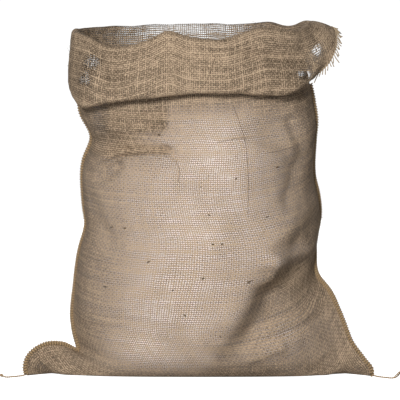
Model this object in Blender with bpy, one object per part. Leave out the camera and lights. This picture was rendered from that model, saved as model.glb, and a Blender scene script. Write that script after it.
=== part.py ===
"""A burlap sack that stands open, empty and self-supporting, with its mouth rolled down into a cuff.

Metres, +Z up. The front faces -Y and the left seam is at -X. The origin is on the flat underside,
on the surface that the sack stands on.
"""

import math
from collections import namedtuple

import bmesh
import bpy
import numpy as np
from mathutils import Vector
from mathutils.bvhtree import BVHTree

# Cloth
CLOTH_THICKNESS = 0.002
COLUMNS = 28  # faces across one panel
BOXINESS = 0.94  # exponent of the superellipse: 1 is an ellipse, less is squarer
FLOOR = CLOTH_THICKNESS / 2

# The roll at the mouth
RIM_RADIUS = 0.0065
FOLD_RADIUS = 0.0065
RIM_ROWS = 4
DROP_ROWS = 4
FOLD_ROWS = 4
HEM_ROWS = 3

# Side seams, their loose ends and the fringe
SEAM_RADIUS = 0.0026
SEAM_STEP = 0.006
SEAM_CLEARANCE = 0.0009
SEAM_PUSHES = 24
SEAM_TOP_REACH = 0.46
GAP = 0.0003
TAIL_DIAMETER = 0.0022
TAIL_STEP = 2.0  # points along a tail, in diameters
FRINGE_PLACES = (1.79, 2.26)  # where the comb starts and ends round the mouth
FRINGE_TEETH = 17
FRINGE_LENGTH = 0.0085
FRINGE_BASE = 0.0015
FRINGE_GAP = 0.0008
FRINGE_THICKNESS = 0.0012

# One row for each course of cloth, at its reach from the bottom fold. A course runs from the left
# seam over the front to the right seam, and back behind. Lean is 1 where the course lies on the
# floor and 0 where it rings the wall. Hold is the share of the panel that stays level with its middle.
Course = namedtuple("Course", "reach left right front back lean hold")
COURSES = [
    #      reach  left seam x y z           right seam x y z         front y z         back y z        lean hold
    Course(0.000, (-0.235, -0.066, 0.001), (0.232, -0.070, 0.001), (-0.006, 0.001), (0.004, 0.001), 1.0, 0.8),
    Course(0.014, (-0.237, -0.068, 0.012), (0.231, -0.072, 0.012), (-0.020, 0.001), (0.018, 0.001), 1.0, 0.8),
    Course(0.030, (-0.233, -0.067, 0.026), (0.221, -0.070, 0.024), (-0.036, 0.001), (0.034, 0.001), 1.0, 0.8),
    Course(0.058, (-0.211, -0.062, 0.042), (0.205, -0.065, 0.047), (-0.063, 0.001), (0.062, 0.001), 1.0, 0.8),
    Course(0.085, (-0.185, -0.052, 0.041), (0.195, -0.052, 0.073), (-0.086, 0.003), (0.088, 0.002), 0.8, 0.6),
    Course(0.109, (-0.166, -0.040, 0.032), (0.186, -0.040, 0.095), (-0.102, 0.019), (0.107, 0.016), 0.6, 0.4),
    Course(0.133, (-0.172, -0.028, 0.057), (0.176, -0.024, 0.114), (-0.112, 0.040), (0.119, 0.036), 0.4, 0.2),
    Course(0.152, (-0.175, -0.020, 0.075), (0.163, -0.008, 0.129), (-0.117, 0.058), (0.124, 0.054), 0.3, 0.0),
    Course(0.190, (-0.173, -0.014, 0.112), (0.160, 0.014, 0.163), (-0.123, 0.094), (0.127, 0.092), 0.1, 0.0),
    Course(0.250, (-0.165, -0.012, 0.171), (0.167, 0.024, 0.217), (-0.125, 0.154), (0.128, 0.152), 0.0, 0.0),
    Course(0.280, (-0.157, -0.011, 0.201), (0.164, 0.020, 0.242), (-0.123, 0.184), (0.127, 0.182), 0.0, 0.0),
    Course(0.310, (-0.160, -0.010, 0.230), (0.158, 0.014, 0.266), (-0.121, 0.214), (0.125, 0.212), 0.0, 0.0),
    Course(0.370, (-0.160, -0.006, 0.289), (0.158, 0.002, 0.317), (-0.114, 0.273), (0.120, 0.272), 0.0, 0.0),
    Course(0.404, (-0.149, -0.002, 0.322), (0.160, 0.000, 0.344), (-0.109, 0.307), (0.117, 0.307), 0.0, 0.0),
    Course(0.440, (-0.164, 0.000, 0.356), (0.156, 0.000, 0.373), (-0.103, 0.343), (0.112, 0.344), 0.0, 0.0),
    Course(0.500, (-0.162, 0.000, 0.413), (0.146, 0.000, 0.421), (-0.100, 0.402), (0.108, 0.405), 0.0, 0.0),
    Course(0.559, (-0.165, 0.000, 0.470), (0.140, 0.000, 0.470), (-0.101, 0.460), (0.106, 0.470), 0.0, 0.0),
]
WALL_REACHES = [0.0, 0.014, 0.03, 0.044, 0.058, 0.072, 0.085, 0.098, 0.11, 0.124, 0.145, 0.17, 0.20, 0.235,
                0.275, 0.315, 0.355, 0.39, 0.42, 0.46, 0.51, 0.559]

# The roll, station by station round the mouth. Place is 0 at the left seam, 1 at the middle of the
# front, 2 at the right seam and 3 at the middle of the back. Lift moves the rim up or down. The cloth
# turns over the rim, drops, turns in at the fold and goes up again as a hem, all in degrees and metres.
Station = namedtuple("Station", "place lift rim_turn drop bow fold_turn hem")
STATIONS = [
    #       place   lift  rim_turn  drop   bow fold_turn hem
    Station(0.00, -0.005, 178, 0.057, 2, 180, 0.046),
    Station(0.13, -0.007, 178, 0.071, 3, 182, 0.052),
    Station(0.29, -0.010, 176, 0.084, 7, 184, 0.060),
    Station(0.49, -0.022, 176, 0.064, 10, 186, 0.044),
    Station(0.72, -0.012, 176, 0.066, 10, 186, 0.044),
    Station(0.84, 0.001, 176, 0.075, 10, 186, 0.050),
    Station(1.00, -0.007, 176, 0.064, 10, 186, 0.044),
    Station(1.26, -0.008, 176, 0.063, 10, 186, 0.042),
    Station(1.42, 0.004, 176, 0.077, 10, 186, 0.046),
    Station(1.60, 0.001, 172, 0.076, 12, 170, 0.022),
    Station(1.76, -0.002, 168, 0.052, 14, 90, 0.008),
    Station(1.88, 0.000, 150, 0.030, 18, 26, 0.006),
    Station(2.00, 0.001, 118, 0.014, 14, 16, 0.006),
    Station(2.14, 0.002, 100, 0.011, 12, 16, 0.006),
    Station(2.30, -0.002, 136, 0.022, 16, 40, 0.008),
    Station(2.46, 0.006, 172, 0.058, 12, 150, 0.020),
    Station(2.62, 0.004, 176, 0.078, 8, 182, 0.044),
    Station(3.00, 0.004, 176, 0.080, 8, 184, 0.052),
    Station(3.40, 0.001, 176, 0.078, 8, 184, 0.052),
    Station(3.72, -0.002, 176, 0.076, 6, 184, 0.050),
    Station(3.88, -0.004, 178, 0.068, 3, 182, 0.048),
    Station(4.00, -0.005, 178, 0.057, 2, 180, 0.046),
]

# Main folds of the wall as soft ridges (height > 0) and troughs (height < 0) between two points
# of the front or the back, seen square on.
Fold = namedtuple("Fold", "front x0 z0 x1 z1 height width")
FOLDS = [
    Fold(True, 0.160, 0.238, 0.100, 0.182, 0.009, 0.024),
    Fold(True, 0.160, 0.200, 0.118, 0.164, -0.010, 0.020),
    Fold(True, 0.085, 0.142, 0.045, 0.085, 0.010, 0.030),
    Fold(True, 0.045, 0.085, 0.005, 0.015, 0.009, 0.028),
    Fold(True, 0.150, 0.142, 0.098, 0.112, -0.013, 0.024),
    Fold(True, 0.098, 0.112, 0.062, 0.060, -0.010, 0.024),
    Fold(True, 0.062, 0.060, 0.042, 0.025, -0.006, 0.020),
    Fold(True, 0.140, 0.085, 0.115, 0.050, 0.006, 0.030),
    Fold(True, 0.100, 0.330, 0.150, 0.230, -0.005, 0.024),
    Fold(True, -0.120, 0.310, -0.040, 0.345, -0.005, 0.018),
    Fold(True, -0.150, 0.120, -0.060, 0.060, -0.005, 0.024),
    Fold(False, -0.120, 0.300, 0.020, 0.220, 0.007, 0.035),
    Fold(False, 0.040, 0.180, 0.130, 0.090, -0.007, 0.030),
    Fold(False, -0.130, 0.110, -0.050, 0.200, -0.006, 0.030),
    Fold(False, 0.060, 0.330, 0.130, 0.260, -0.006, 0.028),
]

# Routes of the loose yarn ends, from the corner outwards
LEFT_TAIL = [
    (-0.2417, -0.0686, 0.0014),
    (-0.2475, -0.0730, 0.0012),
    (-0.2545, -0.0775, 0.0012),
    (-0.2645, -0.0810, 0.0018),
]
# The knot at its end and the frayed wisp past it, each point with its radius
LEFT_TAIL_END = [
    (-0.2657, -0.0814, 0.0026, 0.0012),
    (-0.2675, -0.0812, 0.0033, 0.0030),
    (-0.2695, -0.0806, 0.0040, 0.0029),
    (-0.2715, -0.0798, 0.0050, 0.0014),
    (-0.2750, -0.0790, 0.0075, 0.0012),
    (-0.2770, -0.0786, 0.0110, 0.0010),
    (-0.2760, -0.0782, 0.0145, 0.0007),
]
RIGHT_TAIL = [
    (0.2386, -0.0724, 0.0014),
    (0.2445, -0.0785, 0.0012),
    (0.2520, -0.0845, 0.0012),
    (0.2595, -0.0885, 0.0012),
    (0.2640, -0.0885, 0.0020),
    (0.2680, -0.0885, 0.0055),
    (0.2710, -0.0905, 0.0095),
    (0.2688, -0.0942, 0.0100),
    (0.2645, -0.0955, 0.0064),
    (0.2610, -0.0952, 0.0030),
]


def smooth(keys, values, at):
    """Catmull-Rom curve through the values at the keys, read at each place of `at`."""
    keys = np.asarray(keys, float)
    values = np.asarray(values, float)
    at = np.clip(np.atleast_1d(np.asarray(at, float)), keys[0], keys[-1])
    slopes = np.gradient(values, keys, axis=0)
    left = np.clip(np.searchsorted(keys, at, side="right") - 1, 0, len(keys) - 2)
    span = keys[left + 1] - keys[left]
    u = (at - keys[left]) / span
    if values.ndim > 1:
        u = u[:, None]
        span = span[:, None]
    start = values[left]
    end = values[left + 1]
    return (
        (2 * u**3 - 3 * u**2 + 1) * start
        + (u**3 - 2 * u**2 + u) * span * slopes[left]
        + (3 * u**2 - 2 * u**3) * end
        + (u**3 - u**2) * span * slopes[left + 1]
    )


def course_at(reach):
    """The course at any reach, with each of its columns read from the smooth table."""
    keys = [c.reach for c in COURSES]
    read = {name: smooth(keys, [getattr(c, name) for c in COURSES], reach)[0] for name in Course._fields}
    return Course(**read)


def even(points, count):
    """The polyline's points spread again at equal steps of its length."""
    steps = np.linalg.norm(np.diff(points, axis=0), axis=1)
    along = np.concatenate([[0.0], np.cumsum(steps)])
    wanted = np.linspace(0.0, along[-1], count)
    return np.stack([np.interp(wanted, along, points[:, k]) for k in range(3)], axis=1)


def panel_course(course, is_front, count):
    """One panel's points along a course, from the left seam to the right one."""
    middle_y, middle_z = course.front if is_front else course.back
    middle_x = (course.left[0] + course.right[0]) / 2
    points = []
    for side in np.linspace(-1, 1, 161):
        seam = course.left if side < 0 else course.right
        share = abs(side)
        turn = share * math.pi / 2
        across = (1 - course.lean) * math.sin(turn) ** BOXINESS + course.lean * share
        deep = (1 - course.lean) * max(0.0, math.cos(turn)) ** BOXINESS + course.lean * (1 - share**3)
        rise = (max(0.0, share - course.hold) / (1 - course.hold)) ** 2
        points.append((
            middle_x + (seam[0] - middle_x) * across,
            seam[1] + (middle_y - seam[1]) * deep,
            max(FLOOR, middle_z + (seam[2] - middle_z) * rise),
        ))
    return even(np.array(points), count)


def fold_height(points, is_front):
    """How far the main folds push each point of a panel outwards."""
    height = np.zeros(len(points))
    for fold in FOLDS:
        if fold.front != is_front:
            continue
        start = np.array([fold.x0, fold.z0])
        way = np.array([fold.x1, fold.z1]) - start
        flat = points[:, [0, 2]] - start
        along = np.clip(flat @ way / (way @ way), 0, 1)
        away = np.linalg.norm(flat - along[:, None] * way, axis=1)
        height += fold.height * np.exp(-((away / fold.width) ** 2))
    return height


def ring(reach):
    """The closed course round the sack: front from left to right, then the back from right to left."""
    course = course_at(reach)
    front = panel_course(course, True, COLUMNS + 1)
    back = panel_course(course, False, COLUMNS + 1)[::-1]
    return np.concatenate([front, back[1:-1]])


def outward(loop):
    """Horizontal outward directions of a closed course."""
    tangent = np.roll(loop, -1, axis=0) - np.roll(loop, 1, axis=0)
    normal = np.stack([tangent[:, 1], -tangent[:, 0], np.zeros(len(loop))], axis=1)
    return normal / np.maximum(np.linalg.norm(normal, axis=1, keepdims=True), 1e-9)


def folded_ring(reach):
    """A course with the main folds in it. On the floor and at the seams there are none."""
    loop = ring(reach)
    is_front = np.arange(len(loop)) <= COLUMNS
    push = np.where(is_front, fold_height(loop, True), fold_height(loop, False))
    seam_share = np.abs(np.cos(np.arange(len(loop)) * math.pi / COLUMNS))
    push = push * (1 - seam_share**6) * np.clip((loop[:, 2] - 0.01) / 0.04, 0, 1)
    return loop + outward(loop) * push[:, None]


def roll_profile(station):
    """The roll at one station as (out, up) steps from the top of the wall, one point a row."""
    parts = [
        (RIM_ROWS, station.rim_turn, RIM_RADIUS * math.radians(180)),
        (DROP_ROWS, -station.bow, station.drop / 2),
        (DROP_ROWS, station.bow, station.drop / 2),
        (FOLD_ROWS, station.fold_turn, FOLD_RADIUS * math.radians(180)),
        (HEM_ROWS, 0.0, station.hem),
    ]
    heading = math.radians(90)
    out = up = 0.0
    points = []
    for rows, turn, length in parts:
        for _ in range(rows):
            heading -= math.radians(turn) / rows / 2
            out += math.cos(heading) * length / rows
            up += math.sin(heading) * length / rows
            heading -= math.radians(turn) / rows / 2
            points.append((out, up))
    return points


def station_at(place):
    keys = [s.place for s in STATIONS]
    read = {name: smooth(keys, [getattr(s, name) for s in STATIONS], place)[0] for name in Station._fields}
    return Station(**read)


def cloth_rings():
    """All the closed courses, from the bottom fold up the wall, over the rim and into the hem."""
    rings = [folded_ring(reach) for reach in WALL_REACHES]
    places = np.arange(2 * COLUMNS) * 2 / COLUMNS
    stations = [station_at(place) for place in places]
    top_height = rings[-1][:, 2].mean()
    for loop in rings:
        share = np.clip((loop[:, 2] - 0.36) / (top_height - 0.36), 0, 1)
        loop[:, 2] += share * [s.lift for s in stations]
    top = rings[-1]
    directions = outward(top)
    profiles = np.array([roll_profile(s) for s in stations])
    for row in range(profiles.shape[1]):
        loop = top + directions * profiles[:, row, :1]
        loop[:, 2] += profiles[:, row, 1]
        rings.append(loop)
    return rings


def material(name, colour, roughness):
    made = bpy.data.materials.new(name)
    made.use_nodes = True
    shader = made.node_tree.nodes["Principled BSDF"]
    shader.inputs["Base Color"].default_value = (*colour, 1.0)
    shader.inputs["Roughness"].default_value = roughness
    shader.inputs["Metallic"].default_value = 0.0
    return made


def add_object(name, mesh, made_of):
    mesh.materials.append(made_of)
    mesh.shade_smooth()
    placed = bpy.data.objects.new(name, mesh)
    bpy.context.scene.collection.objects.link(placed)
    return placed


def thicken(placed, thickness):
    solid = placed.modifiers.new("Thickness", "SOLIDIFY")
    solid.thickness = thickness
    solid.offset = 0.0
    solid.use_even_offset = False


def build_cloth(rings, made_of):
    """Wraps a flat grid of cloth, folded across its middle, round the courses and joins its sides."""
    last = len(rings) - 1
    work = bmesh.new()
    bmesh.ops.create_grid(work, x_segments=COLUMNS, y_segments=2 * last, size=1.0)
    for vert in work.verts:
        column = round((vert.co.x + 1) / 2 * COLUMNS)
        row = round(vert.co.y * last)
        around = column if row >= 0 else -column
        vert.co = Vector(rings[abs(row)][around])
    bmesh.ops.remove_doubles(work, verts=work.verts, dist=1e-5)
    bmesh.ops.recalc_face_normals(work, faces=work.faces)
    mesh = bpy.data.meshes.new("sack_cloth")
    work.to_mesh(mesh)
    work.free()
    placed = add_object("sack_cloth", mesh, made_of)
    thicken(placed, CLOTH_THICKNESS)
    return placed


def tube(name, route, resolution, made_of):
    """A round bar along a route of points with a radius each, closed at both ends."""
    curve = bpy.data.curves.new(name, "CURVE")
    curve.dimensions = "3D"
    curve.bevel_depth = 1.0
    curve.bevel_resolution = resolution
    curve.use_fill_caps = True
    spline = curve.splines.new("POLY")
    spline.points.add(len(route) - 1)
    for point, place in zip(spline.points, route):
        point.co = (*place[:3], 1.0)
        point.radius = place[3]
    spline.use_smooth = True
    curve.materials.append(made_of)
    placed = bpy.data.objects.new(name, curve)
    bpy.context.scene.collection.objects.link(placed)
    return placed


def smooth_route(points, step):
    """A smooth curve through the route's points, read at about the given step."""
    points = np.array(points)
    along = np.concatenate([[0.0], np.cumsum(np.linalg.norm(np.diff(points[:, :3], axis=0), axis=1))])
    count = max(2, round(along[-1] / step) + 1)
    return smooth(along, points, np.linspace(0, along[-1], count))


def cord(name, points, made_of):
    """A loose yarn of even thickness along its route."""
    radius = TAIL_DIAMETER / 2
    route = [(*place, radius) for place in points]
    return tube(name, smooth_route(route, TAIL_STEP * TAIL_DIAMETER), 2, made_of)


def build_seam(name, rings, around, cloth, made_of):
    """The overcast ridge just outside the seam's edge, from the bottom corner to under the roll."""
    rows = sum(reach <= SEAM_TOP_REACH for reach in WALL_REACHES)
    edge = np.array([loop[around] for loop in rings[:rows]])
    middle = np.array([(loop[around - 1] + loop[around + 1]) / 2 for loop in rings[:rows]])
    away = edge - middle
    away[0] = away[1]
    away /= np.linalg.norm(away, axis=1, keepdims=True)
    away += np.array([outward(loop)[around] for loop in rings[:rows]])
    tangent = np.gradient(edge, axis=0)
    tangent /= np.linalg.norm(tangent, axis=1, keepdims=True)
    away -= tangent * np.sum(away * tangent, axis=1, keepdims=True)
    away /= np.linalg.norm(away, axis=1, keepdims=True)
    reach = CLOTH_THICKNESS / 2 + GAP + SEAM_RADIUS
    route = smooth_route(np.column_stack([edge + away * reach, away]), SEAM_STEP)
    route, away = route[:, :3], route[:, 3:]
    surface = BVHTree.FromObject(cloth, bpy.context.evaluated_depsgraph_get())
    for push in range(SEAM_PUSHES):
        if push < SEAM_PUSHES / 2:
            route[1:-1] = route[1:-1] / 2 + (route[:-2] + route[2:]) / 4
        for point, direction in zip(route, away):
            nearest, _, _, distance = surface.find_nearest(Vector(point))
            is_inside = (Vector(point) - nearest).dot(Vector(direction)) < 0
            short = SEAM_RADIUS + SEAM_CLEARANCE + (distance if is_inside else -distance)
            point += direction * max(0.0, short) / 2
        route[:, 2] = np.maximum(route[:, 2], SEAM_RADIUS + GAP)
    route = np.column_stack([route, np.full(len(route), SEAM_RADIUS)])
    return tube(name, route, 1, made_of)


def build_fringe(rings, made_of):
    """The comb of warp ends along the raw edge, where the roll stands open at the right seam."""
    edge = rings[-1]
    way = edge - rings[-2]
    way /= np.linalg.norm(way, axis=1, keepdims=True)
    start, end = (place * COLUMNS / 2 for place in FRINGE_PLACES)
    cells = 2 * FRINGE_TEETH - 1
    work = bmesh.new()
    bmesh.ops.create_grid(work, x_segments=cells, y_segments=2, size=1.0)
    gaps = []
    for face in work.faces:
        middle = face.calc_center_median()
        cell = int((middle.x + 1) / 2 * cells)
        if middle.y > 0 and cell % 2:
            gaps.append(face)
    for vert in work.verts:
        around = start + (vert.co.x + 1) / 2 * (end - start)
        before = int(around)
        share = around - before
        place = edge[before] * (1 - share) + edge[before + 1] * share
        out = way[before] * (1 - share) + way[before + 1] * share
        reach = (FRINGE_GAP, FRINGE_GAP + FRINGE_BASE, FRINGE_LENGTH)[round(vert.co.y) + 1]
        vert.co = Vector(place + out * reach)
    bmesh.ops.delete(work, geom=gaps, context="FACES")
    mesh = bpy.data.meshes.new("raw_edge_fringe")
    work.to_mesh(mesh)
    work.free()
    placed = add_object("raw_edge_fringe", mesh, made_of)
    thicken(placed, FRINGE_THICKNESS)
    return placed


def clear_scene():
    for placed in list(bpy.data.objects):
        bpy.data.objects.remove(placed, do_unlink=True)


def main():
    clear_scene()
    burlap = material("burlap", (0.50, 0.40, 0.29), 0.95)
    yarn = material("jute_yarn", (0.46, 0.34, 0.21), 0.95)
    rings = cloth_rings()
    cloth = build_cloth(rings, burlap)
    build_seam("left_seam", rings, 0, cloth, yarn)
    build_seam("right_seam", rings, COLUMNS, cloth, yarn)
    cord("left_tail", LEFT_TAIL, yarn)
    tube("left_tail_knot", smooth_route(LEFT_TAIL_END, TAIL_DIAMETER), 2, yarn)
    cord("right_tail", RIGHT_TAIL, yarn)
    build_fringe(rings, burlap)


main()
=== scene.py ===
import math
from collections import namedtuple

import bmesh
import bpy
import numpy as np
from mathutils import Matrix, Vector, noise
from mathutils.bvhtree import BVHTree


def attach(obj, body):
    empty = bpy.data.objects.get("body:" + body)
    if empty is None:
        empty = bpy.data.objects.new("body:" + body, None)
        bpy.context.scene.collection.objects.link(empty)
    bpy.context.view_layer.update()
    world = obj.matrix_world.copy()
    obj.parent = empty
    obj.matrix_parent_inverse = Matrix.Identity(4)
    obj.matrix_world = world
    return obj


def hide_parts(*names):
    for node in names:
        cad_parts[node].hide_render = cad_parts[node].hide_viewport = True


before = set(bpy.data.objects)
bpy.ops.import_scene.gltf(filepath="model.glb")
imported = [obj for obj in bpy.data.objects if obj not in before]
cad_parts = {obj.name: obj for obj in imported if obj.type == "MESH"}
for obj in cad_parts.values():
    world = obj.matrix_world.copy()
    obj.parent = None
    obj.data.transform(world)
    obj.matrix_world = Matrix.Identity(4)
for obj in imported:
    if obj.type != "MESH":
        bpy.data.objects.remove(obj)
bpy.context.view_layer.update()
random = np.random.default_rng(7)


# Small helpers for curves, pieces and round yarns

def smooth(keys, values, at):
    # a soft curve through the values at the keys, read at each place of at
    keys = np.asarray(keys, float)
    values = np.asarray(values, float)
    at = np.clip(np.atleast_1d(np.asarray(at, float)), keys[0], keys[-1])
    slopes = np.gradient(values, keys, axis=0)
    left = np.clip(np.searchsorted(keys, at, side="right") - 1, 0, len(keys) - 2)
    span = keys[left + 1] - keys[left]
    u = (at - keys[left]) / span
    if values.ndim > 1:
        u = u[:, None]
        span = span[:, None]
    rise = (2 * u**3 - 3 * u**2 + 1) * values[left] + (3 * u**2 - 2 * u**3) * values[left + 1]
    bend = (u**3 - 2 * u**2 + u) * slopes[left] + (u**3 - u**2) * slopes[left + 1]
    return rise + bend * span


def alongLine(points):
    steps = np.linalg.norm(np.diff(points[:, :3], axis=0), axis=1)
    return np.concatenate([[0.0], np.cumsum(steps)])


def even(points, count):
    # the same line with its points at equal steps
    along = alongLine(points)
    wanted = np.linspace(0.0, along[-1], count)
    return np.stack([np.interp(wanted, along, points[:, k]) for k in range(points.shape[1])], axis=1)


def smoothRoute(points, step):
    points = np.array(points, float)
    along = alongLine(points)
    count = max(3, round(along[-1] / step) + 1)
    return smooth(along, points, np.linspace(0, along[-1], count))


def placePiece(name, work, finish):
    mesh = bpy.data.meshes.new(name)
    work.to_mesh(mesh)
    work.free()
    mesh.materials.append(finish)
    mesh.shade_smooth()
    piece = bpy.data.objects.new(name, mesh)
    bpy.context.scene.collection.objects.link(piece)
    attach(piece, "root")
    return piece


def addTube(work, route, radii, sides, closeEnds=True):
    # a round yarn along a route, with one ring of corners at each point
    route = np.asarray(route, float)
    radii = np.broadcast_to(np.asarray(radii, float), (len(route),))
    ways = np.gradient(route, axis=0)
    ways /= np.maximum(np.linalg.norm(ways, axis=1, keepdims=True), 1e-12)
    side = Vector(ways[0]).orthogonal().normalized()
    uvLayer = work.loops.layers.uv.verify()
    lengths = alongLine(route)
    first = bmesh.ops.create_circle(work, cap_ends=False, segments=sides, radius=1.0)["verts"]
    corners = sorted(first, key=lambda v: math.atan2(v.co.y, v.co.x))
    rings = [corners]
    for _ in range(len(route) - 1):
        rings.append([work.verts.new(v.co) for v in corners])
    for place, (ring, middle, way, radius) in enumerate(zip(rings, route, ways, radii)):
        way = Vector(way)
        side = (side - way * side.dot(way)).normalized()
        up = way.cross(side)
        for k, vert in enumerate(ring):
            angle = 2 * math.pi * k / sides
            vert.co = Vector(middle) + (side * math.cos(angle) + up * math.sin(angle)) * radius
    for place in range(len(rings) - 1):
        a, b = rings[place], rings[place + 1]
        for k in range(sides):
            n = (k + 1) % sides
            face = work.faces.new((a[k], a[n], b[n], b[k]))
            turn = ((k, place), (k + 1, place), (k + 1, place + 1), (k, place + 1))
            for loop, (around, row) in zip(face.loops, turn):
                loop[uvLayer].uv = (around / sides, lengths[row])
    if closeEnds:
        work.faces.new(rings[0][::-1])
        work.faces.new(rings[-1])


# Camera, stage and light

studio = {
    "cameraPlace": (0.0, -3.0, 0.44),
    "cameraTarget": (0.0, 0.0, 0.2358),
    "lens": 195.7,
    "floorSize": 9.0,
    "keyPlace": (-0.60, -2.7, 1.15),
    "keySize": 0.7,
    "keyPower": 92.0,
    "backPlace": (0.0, 2.4, 1.0),
    "backSize": 3.0,
    "backPower": 52.0,
    "fillPlace": (2.2, -1.7, 0.9),
    "fillSize": 1.4,
    "fillPower": 7.0,
    "skyLight": 0.08,
    "skySeen": 1.05,
    "floorSeen": 1.02,
}


def aim(thing, place, target):
    thing.location = place
    thing.rotation_euler = (Vector(target) - Vector(place)).to_track_quat("-Z", "Y").to_euler()


def areaLamp(name, place, size, power):
    lamp = bpy.data.lights.new(name, "AREA")
    lamp.shape = "DISK"
    lamp.size = size
    lamp.energy = power
    thing = bpy.data.objects.new(name, lamp)
    thing.visible_camera = False
    bpy.context.scene.collection.objects.link(thing)
    aim(thing, place, studio["cameraTarget"])


def paleFloor():
    # a pale matt floor that the camera sees nearly burnt out, as the backdrop is
    pale = bpy.data.materials.new("paleFloor")
    pale.use_nodes = True
    tree = pale.node_tree
    shader = tree.nodes["Principled BSDF"]
    shader.inputs["Base Color"].default_value = (0.55, 0.55, 0.55, 1)
    shader.inputs["Roughness"].default_value = 0.9
    shader.inputs["Specular IOR Level"].default_value = 0.1
    glare = tree.nodes.new("ShaderNodeEmission")
    glare.inputs["Strength"].default_value = studio["floorSeen"]
    path = tree.nodes.new("ShaderNodeLightPath")
    lift = tree.nodes.new("ShaderNodeMixShader")
    both = tree.nodes.new("ShaderNodeAddShader")
    tree.links.new(glare.outputs[0], both.inputs[0])
    tree.links.new(shader.outputs[0], both.inputs[1])
    tree.links.new(path.outputs["Is Camera Ray"], lift.inputs["Fac"])
    tree.links.new(shader.outputs[0], lift.inputs[1])
    tree.links.new(both.outputs[0], lift.inputs[2])
    tree.links.new(lift.outputs[0], tree.nodes["Material Output"].inputs["Surface"])
    return pale


def setUpStudio():
    scene = bpy.context.scene
    camera = bpy.data.objects.new("camera", bpy.data.cameras.new("camera"))
    camera.data.lens = studio["lens"]
    camera.data.sensor_width = 36.0
    camera.data.clip_end = 50.0
    scene.collection.objects.link(camera)
    aim(camera, studio["cameraPlace"], studio["cameraTarget"])
    scene.camera = camera

    areaLamp("keyLamp", studio["keyPlace"], studio["keySize"], studio["keyPower"])
    areaLamp("fillLamp", studio["fillPlace"], studio["fillSize"], studio["fillPower"])
    areaLamp("backLamp", studio["backPlace"], studio["backSize"], studio["backPower"])

    world = bpy.data.worlds.new("studioWorld")
    scene.world = world
    world.use_nodes = True
    tree = world.node_tree
    lit = tree.nodes["Background"]
    lit.inputs["Color"].default_value = (1, 1, 1, 1)
    lit.inputs["Strength"].default_value = studio["skyLight"]
    seen = tree.nodes.new("ShaderNodeBackground")
    seen.inputs["Color"].default_value = (1, 1, 1, 1)
    seen.inputs["Strength"].default_value = studio["skySeen"]
    path = tree.nodes.new("ShaderNodeLightPath")
    mix = tree.nodes.new("ShaderNodeMixShader")
    tree.links.new(path.outputs["Is Camera Ray"], mix.inputs["Fac"])
    tree.links.new(lit.outputs["Background"], mix.inputs[1])
    tree.links.new(seen.outputs["Background"], mix.inputs[2])
    tree.links.new(mix.outputs["Shader"], tree.nodes["World Output"].inputs["Surface"])

    work = bmesh.new()
    bmesh.ops.create_grid(work, x_segments=1, y_segments=1, size=studio["floorSize"] / 2)
    mesh = bpy.data.meshes.new("studioFloor")
    work.to_mesh(mesh)
    work.free()
    floor = bpy.data.objects.new("studioFloor", mesh)
    scene.collection.objects.link(floor)
    mesh.materials.append(paleFloor())

    scene.view_settings.view_transform = "Standard"
    scene.view_settings.look = "None"
    scene.cycles.transparent_max_bounces = 32


setUpStudio()
print("studio ready")


# Finishes: the weave and the spun yarn

burlapLook = {
    "warpPitch": 0.0034,
    "weftPitch": 0.0028,
    "warpWidth": 0.50,  # share of its pitch that a yarn covers
    "weftWidth": 0.62,
    "widthSpread": 0.12,
    "slub": 0.30,
    "wander": 0.004,
    "shiver": 0.0006,
    "open": 0.26,  # how far the sheer mark opens or shuts the weave
    "light": (0.480, 0.355, 0.240),
    "dark": (0.085, 0.057, 0.033),
    "lintAndLight": (0.95, 0.825, 0.76),  # fine pale fibre and filling seen in the gaps, made bright as painted light where the wall is lit
    "deep": (0.170, 0.130, 0.095),  # fuzz and shadow down in the gaps
    "glow": 0.12,
    "bump": 0.8,
    "bumpDistance": 0.0007,
    "roughness": 0.92,
    "edgeBlur": 0.04,  # softness of each yarn's edge, as a share of the pitch
    "leastHalf": 0.08,
    "wave": 0.24,  # how far a yarn rises and dips as it crosses the others
    "patchScale": 16.0,
    "patchOpen": 0.7,
    "streakAcross": 9.0,
    "streakAlong": 150.0,
    "streakOpen": 1.30,
    "streakShade": -0.60,
    "paleOpen": 0.45,
    "seeThroughFrom": 0.15,
    "seeThroughTo": 0.75,
    "leastSeeThrough": 0.15,
    "fibreScale": 620.0,
    "ownShade": 0.34,
    "slubShade": 0.90,
    "patchShade": 0.40,
    "fibreShade": 1.20,
    "paintedDipShade": 0.70,
    "baseShade": -1.30,
}

yarnLook = {
    "light": (0.520, 0.370, 0.205),
    "dark": (0.200, 0.125, 0.062),
    "twist": 420.0,
    "bump": 0.6,
}


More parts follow.
